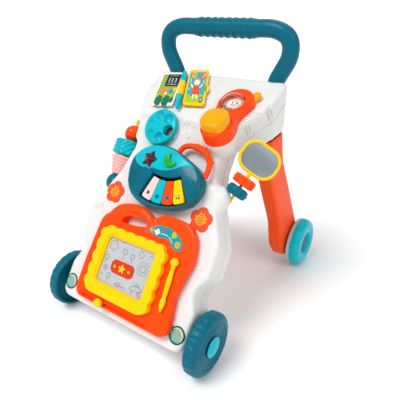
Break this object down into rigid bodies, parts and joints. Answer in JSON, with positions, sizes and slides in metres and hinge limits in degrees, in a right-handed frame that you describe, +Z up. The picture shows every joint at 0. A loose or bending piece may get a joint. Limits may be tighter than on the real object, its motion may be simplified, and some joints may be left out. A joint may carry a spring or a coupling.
{
  "type": "baby walker",
  "caption": "Push-along baby walker on four wheels with a grab handle, a sloping activity panel, lift-off drawing board and keyboard, rollers, beads and a mirror.",
  "frame": {"origin": "on the ground, under the middle of the overall box", "axes": "+Z up, +Y towards the walking child and the rear wheels, -Y the direction of travel, +X towards the side with the mirror"},
  "size_m": [0.3108, 0.4302, 0.452],
  "materials": {
    "white_abs": "gloss",
    "orange_abs": "gloss",
    "teal_abs": "gloss",
    "dark_teal_abs": "gloss",
    "cyan_abs": "gloss",
    "yellow_abs": "gloss",
    "pink_abs": "gloss",
    "pale_ring": "satin",
    "steel": "satin",
    "screen_film": "satin",
    "red_lens": "clear",
    "green_lens": "gloss",
    "clear_window": "clear",
    "mirror": "mirror",
    "bead_mix": "gloss",
    "badge_print": "satin",
    "silicone": "matte",
    "circuit": "satin",
    "speaker_black": "matte",
    "cell_wrap": "gloss",
    "picture": "satin",
    "page_print": "satin"
  },
  "bodies": {
    "body": {"front_shell": "white_abs", "rear_shell": "white_abs", "shell_screws": "steel", "front_axle": "steel", "rear_axles": "steel", "handle": "teal_abs", "grip": "teal_abs", "left_leg": "orange_abs", "right_leg": "orange_abs", "badges": "badge_print", "disc_spindle": "picture", "roller_rod": "yellow_abs", "dome_end": "dark_teal_abs", "mirror_stalk": "yellow_abs", "phone_body": "orange_abs", "phone_dome": "clear_window", "phone_beads": "bead_mix", "phone_antenna": "yellow_abs", "book_spine": "yellow_abs", "left_page": "page_print"},
    "front_left": {"front_left_wheel": "dark_teal_abs", "front_left_cap": "cyan_abs"},
    "front_right": {"front_right_wheel": "dark_teal_abs", "front_right_cap": "cyan_abs"},
    "rear_left": {"rear_left_wheel": "teal_abs", "rear_left_ring": "pale_ring", "rear_left_cap": "dark_teal_abs"},
    "rear_right": {"rear_right_wheel": "teal_abs", "rear_right_ring": "pale_ring", "rear_right_cap": "dark_teal_abs"},
    "board": {"board_body": "orange_abs", "board_back": "orange_abs", "board_frame": "yellow_abs", "draw_screen": "screen_film"},
    "eraser": {"eraser_slider": "yellow_abs"},
    "pen": {"pen": "yellow_abs"},
    "keyboard": {"piano_base": "dark_teal_abs", "piano_top": "cyan_abs", "piano_ring": "orange_abs", "battery_cover": "dark_teal_abs", "star_lens": "red_lens", "key_mat": "silicone", "circuit_board": "circuit", "speaker": "speaker_black", "batteries": "cell_wrap"},
    "moon": {"moon_button": "green_lens"},
    "key_1": {"pink_key": "pink_abs"},
    "key_2": {"cyan_key": "cyan_abs"},
    "key_3": {"orange_key": "orange_abs"},
    "key_4": {"yellow_key": "yellow_abs"},
    "disc": {"spin_disc": "cyan_abs"},
    "ball": {"orange_ball": "orange_abs"},
    "ribbed": {"ribbed_roller": "cyan_abs"},
    "cone": {"cone_roller": "pink_abs"},
    "ring_bead": {"ring_bead": "dark_teal_abs"},
    "gear_bead": {"gear_bead": "orange_abs"},
    "mirror": {"mirror_frame": "yellow_abs", "mirror_glass": "mirror"},
    "squeeze": {"phone_button": "yellow_abs"},
    "page": {"right_page": "yellow_abs"}
  },
  "joints": [
    {"name": "front_left_spin", "type": "hinge", "parent": "body", "child": "front_left", "pos_m": [-0.138, -0.1635, 0.0462], "axis": [1, 0, 0], "continuous": true},
    {"name": "front_right_spin", "type": "hinge", "parent": "body", "child": "front_right", "pos_m": [0.138, -0.1635, 0.0462], "axis": [1, 0, 0], "continuous": true},
    {"name": "rear_left_spin", "type": "hinge", "parent": "body", "child": "rear_left", "pos_m": [-0.135, 0.1689, 0.0462], "axis": [1, 0, 0], "continuous": true},
    {"name": "rear_right_spin", "type": "hinge", "parent": "body", "child": "rear_right", "pos_m": [0.135, 0.1689, 0.0462], "axis": [1, 0, 0], "continuous": true},
    {"name": "board_lift", "type": "slide", "parent": "body", "child": "board", "axis": [0, -0.8221, 0.5693], "range_m": [0, 0.05]},
    {"name": "eraser_slide", "type": "slide", "parent": "board", "child": "eraser", "axis": [1, 0, 0], "range_m": [-0.034, 0.078]},
    {"name": "pen_lift", "type": "slide", "parent": "board", "child": "pen", "axis": [0, -0.8221, 0.5693], "range_m": [0, 0.03]},
    {"name": "keyboard_lift", "type": "slide", "parent": "body", "child": "keyboard", "axis": [0, -0.8221, 0.5693], "range_m": [0, 0.05]},
    {"name": "moon_press", "type": "slide", "parent": "keyboard", "child": "moon", "axis": [0, 0.8221, -0.5693], "range_m": [0, 0.0015], "stiffness_N_per_m": 400, "springref_m": -0.001},
    {"name": "key_1_press", "type": "slide", "parent": "keyboard", "child": "key_1", "axis": [0, 0.8221, -0.5693], "range_m": [0, 0.0025], "stiffness_N_per_m": 400, "springref_m": -0.001},
    {"name": "key_2_press", "type": "slide", "parent": "keyboard", "child": "key_2", "axis": [0, 0.8221, -0.5693], "range_m": [0, 0.0025], "stiffness_N_per_m": 400, "springref_m": -0.001},
    {"name": "key_3_press", "type": "slide", "parent": "keyboard", "child": "key_3", "axis": [0, 0.8221, -0.5693], "range_m": [0, 0.0025], "stiffness_N_per_m": 400, "springref_m": -0.001},
    {"name": "key_4_press", "type": "slide", "parent": "keyboard", "child": "key_4", "axis": [0, 0.8221, -0.5693], "range_m": [0, 0.0025], "stiffness_N_per_m": 400, "springref_m": -0.001},
    {"name": "disc_spin", "type": "hinge", "parent": "body", "child": "disc", "pos_m": [-0.034, -0.03857, 0.29589], "axis": [0, -0.8221, 0.5693], "continuous": true},
    {"name": "ball_spin", "type": "hinge", "parent": "body", "child": "ball", "pos_m": [-0.1095, -0.02323, 0.26886], "axis": [0, 0.5693, 0.8221], "continuous": true},
    {"name": "ribbed_roller_spin", "type": "hinge", "parent": "body", "child": "ribbed", "pos_m": [-0.1095, -0.0386, 0.24666], "axis": [0, 0.5693, 0.8221], "continuous": true},
    {"name": "cone_roller_spin", "type": "hinge", "parent": "body", "child": "cone", "pos_m": [-0.1095, -0.05682, 0.22035], "axis": [0, 0.5693, 0.8221], "continuous": true},
    {"name": "ring_bead_spin", "type": "hinge", "parent": "body", "child": "ring_bead", "pos_m": [0.11317, -0.05287, 0.22957], "axis": [0.3261, 0.5382, 0.7772], "continuous": true},
    {"name": "gear_bead_spin", "type": "hinge", "parent": "body", "child": "gear_bead", "pos_m": [0.11878, -0.04361, 0.24293], "axis": [0.3261, 0.5382, 0.7772], "continuous": true},
    {"name": "mirror_turn", "type": "hinge", "parent": "body", "child": "mirror", "pos_m": [0.13068, -0.02398, 0.27129], "axis": [0.3261, 0.5382, 0.7772], "range_deg": [-60, 60]},
    {"name": "squeeze_press", "type": "slide", "parent": "body", "child": "squeeze", "axis": [0, 0.4509, -0.8926], "range_m": [0, 0.003], "stiffness_N_per_m": 600, "springref_m": -0.001},
    {"name": "page_turn", "type": "hinge", "parent": "body", "child": "page", "pos_m": [-0.018, -0.01924, 0.3219], "axis": [0.4289, -0.8063, -0.4073], "range_deg": [0, 150]}
  ]
}
